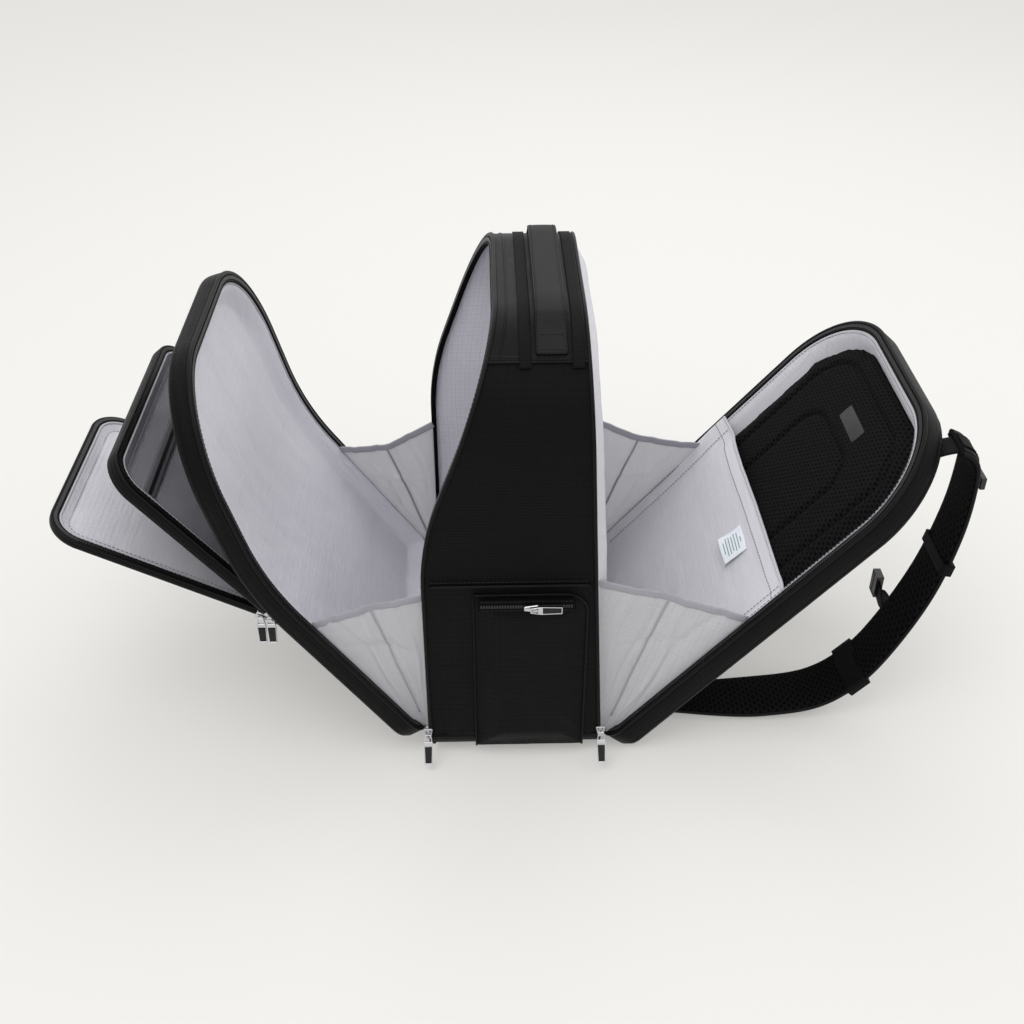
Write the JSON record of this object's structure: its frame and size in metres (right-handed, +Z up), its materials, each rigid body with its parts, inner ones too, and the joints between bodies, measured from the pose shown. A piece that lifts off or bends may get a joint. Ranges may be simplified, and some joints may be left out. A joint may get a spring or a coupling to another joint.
{
  "type": "travel backpack",
  "caption": "Soft travel backpack with a clamshell front panel, organizer leaf, outer pocket leaf, hinged laptop rear panel, side pockets, zips and shoulder straps, shown unzipped.",
  "frame": {"origin": "centre of the flat base, on the surface the backpack stands on", "axes": "+Z up, +X towards the rear panel and its shoulder straps, Y across the width"},
  "size_m": [0.8583, 0.3734, 0.4545],
  "materials": {
    "ripstop_fabric": "matte",
    "smooth_fabric": "satin",
    "lining_fabric": "satin",
    "gusset_fabric": "satin",
    "pocket_mesh": "matte",
    "air_mesh": "matte",
    "zip_tape": "matte",
    "grained_strap": "satin",
    "stiffener_board": "matte",
    "webbing": "matte",
    "buckle_plastic": "satin",
    "zip_metal": "polished"
  },
  "bodies": {
    "main_body": {"base_panel": "ripstop_fabric", "side_panel_near": "ripstop_fabric", "side_panel_far": "ripstop_fabric", "top_panel": "smooth_fabric", "body_lining": "lining_fabric", "front_zip_tape": "zip_tape", "rear_zip_tape": "zip_tape", "divider_panel": "lining_fabric", "base_board": "stiffener_board", "carry_handle": "grained_strap", "side_pocket_near": "ripstop_fabric", "side_pocket_far": "ripstop_fabric"},
    "front_panel": {"front_panel_shell": "ripstop_fabric", "front_panel_lining": "lining_fabric", "front_panel_zip": "zip_tape", "front_gusset_near": "gusset_fabric", "front_gusset_far": "gusset_fabric"},
    "organizer": {"organizer_shell": "ripstop_fabric", "organizer_zip": "zip_tape", "mesh_pocket": "pocket_mesh"},
    "outer_pocket": {"outer_pocket_shell": "ripstop_fabric", "outer_pocket_zip": "zip_tape", "outer_pocket_lining": "lining_fabric"},
    "rear_panel": {"rear_panel_shell": "ripstop_fabric", "rear_panel_zip": "zip_tape", "air_mesh_pad": "air_mesh", "laptop_sleeve": "lining_fabric", "back_pad_near": "air_mesh", "back_pad_far": "air_mesh", "rear_gusset_near": "gusset_fabric", "rear_gusset_far": "gusset_fabric", "shoulder_strap_near": "air_mesh", "strap_webbing_near": "webbing", "ladder_lock_near": "buckle_plastic", "sternum_webbing_near": "webbing", "sternum_buckle_near": "buckle_plastic", "shoulder_strap_far": "air_mesh", "strap_webbing_far": "webbing", "ladder_lock_far": "buckle_plastic", "sternum_webbing_far": "webbing", "sternum_buckle_far": "buckle_plastic"},
    "front_near_slider": {"front_near_slider": "zip_metal"},
    "front_near_pull": {"front_near_pull": "zip_metal"},
    "rear_near_slider": {"rear_near_slider": "zip_metal"},
    "rear_near_pull": {"rear_near_pull": "zip_metal"},
    "side_pocket_near_slider": {"side_pocket_near_slider": "zip_metal"},
    "side_pocket_near_pull": {"side_pocket_near_pull": "zip_metal"},
    "front_far_slider": {"front_far_slider": "zip_metal"},
    "front_far_pull": {"front_far_pull": "zip_metal"},
    "rear_far_slider": {"rear_far_slider": "zip_metal"},
    "rear_far_pull": {"rear_far_pull": "zip_metal"},
    "side_pocket_far_slider": {"side_pocket_far_slider": "zip_metal"},
    "side_pocket_far_pull": {"side_pocket_far_pull": "zip_metal"},
    "organizer_slider": {"organizer_slider": "zip_metal"},
    "organizer_pull": {"organizer_pull": "zip_metal"},
    "outer_pocket_slider": {"outer_pocket_slider": "zip_metal"},
    "outer_pocket_pull": {"outer_pocket_pull": "zip_metal"}
  },
  "joints": [
    {"name": "front_panel_fold", "type": "hinge", "parent": "main_body", "child": "front_panel", "pos_m": [-0.087, 0, 0.019], "axis": [0, 1, 0], "range_deg": [0, 35], "deforming": ["front_gusset_near", "front_gusset_far"]},
    {"name": "organizer_fold", "type": "hinge", "parent": "front_panel", "child": "organizer", "pos_m": [-0.21334, 0, 0.14539], "axis": [0, 1, 0], "range_deg": [0, 14]},
    {"name": "outer_pocket_fold", "type": "hinge", "parent": "organizer", "child": "outer_pocket", "pos_m": [-0.22556, 0, 0.13585], "axis": [0, 1, 0], "range_deg": [0, 24]},
    {"name": "rear_panel_fold", "type": "hinge", "parent": "main_body", "child": "rear_panel", "pos_m": [0.088, 0, 0.009], "axis": [0, 1, 0], "range_deg": [-43, 0], "deforming": ["rear_gusset_near", "rear_gusset_far"]},
    {"name": "front_near_zip_run", "type": "slide", "parent": "main_body", "child": "front_near_slider", "axis": [0, 0, 1], "range_m": [0, 0.165]},
    {"name": "front_near_pull_swing", "type": "hinge", "parent": "front_near_slider", "child": "front_near_pull", "pos_m": [-0.085, -0.1664, 0.032], "axis": [1, 0, 0], "range_deg": [-110, 30]},
    {"name": "rear_near_zip_run", "type": "slide", "parent": "main_body", "child": "rear_near_slider", "axis": [-0.0523, 0, 0.9986], "range_m": [0, 0.26]},
    {"name": "rear_near_pull_swing", "type": "hinge", "parent": "rear_near_slider", "child": "rear_near_pull", "pos_m": [0.084, -0.1664, 0.031], "axis": [1, 0, 0], "range_deg": [-100, 40]},
    {"name": "side_pocket_near_zip_run", "type": "slide", "parent": "main_body", "child": "side_pocket_near_slider", "axis": [1, 0, 0], "range_m": [-0.038, 0.044]},
    {"name": "side_pocket_near_pull_swing", "type": "hinge", "parent": "side_pocket_near_slider", "child": "side_pocket_near_pull", "pos_m": [0.014, -0.1744, 0.197], "axis": [0, 0, 1], "range_deg": [-170, 0]},
    {"name": "front_far_zip_run", "type": "slide", "parent": "main_body", "child": "front_far_slider", "axis": [0, 0, 1], "range_m": [0, 0.165]},
    {"name": "front_far_pull_swing", "type": "hinge", "parent": "front_far_slider", "child": "front_far_pull", "pos_m": [-0.085, 0.1664, 0.032], "axis": [1, 0, 0], "range_deg": [-30, 110]},
    {"name": "rear_far_zip_run", "type": "slide", "parent": "main_body", "child": "rear_far_slider", "axis": [-0.0523, 0, 0.9986], "range_m": [0, 0.26]},
    {"name": "rear_far_pull_swing", "type": "hinge", "parent": "rear_far_slider", "child": "rear_far_pull", "pos_m": [0.084, 0.1664, 0.031], "axis": [1, 0, 0], "range_deg": [-40, 100]},
    {"name": "side_pocket_far_zip_run", "type": "slide", "parent": "main_body", "child": "side_pocket_far_slider", "axis": [1, 0, 0], "range_m": [-0.038, 0.044]},
    {"name": "side_pocket_far_pull_swing", "type": "hinge", "parent": "side_pocket_far_slider", "child": "side_pocket_far_pull", "pos_m": [0.014, 0.1744, 0.197], "axis": [0, 0, 1], "range_deg": [0, 170]},
    {"name": "organizer_zip_run", "type": "slide", "parent": "organizer", "child": "organizer_slider", "axis": [-0.6157, 0, 0.788], "range_m": [0, 0.15]},
    {"name": "organizer_pull_swing", "type": "hinge", "parent": "organizer_slider", "child": "organizer_pull", "pos_m": [-0.22933, -0.1294, 0.15448], "axis": [1, 0, 0], "range_deg": [-120, 0]},
    {"name": "outer_pocket_zip_run", "type": "slide", "parent": "outer_pocket", "child": "outer_pocket_slider", "axis": [-0.8829, 0, 0.4695], "range_m": [0, 0.15]},
    {"name": "outer_pocket_pull_swing", "type": "hinge", "parent": "outer_pocket_slider", "child": "outer_pocket_pull", "pos_m": [-0.24268, -0.1124, 0.13985], "axis": [1, 0, 0], "range_deg": [-120, 0]}
  ]
}
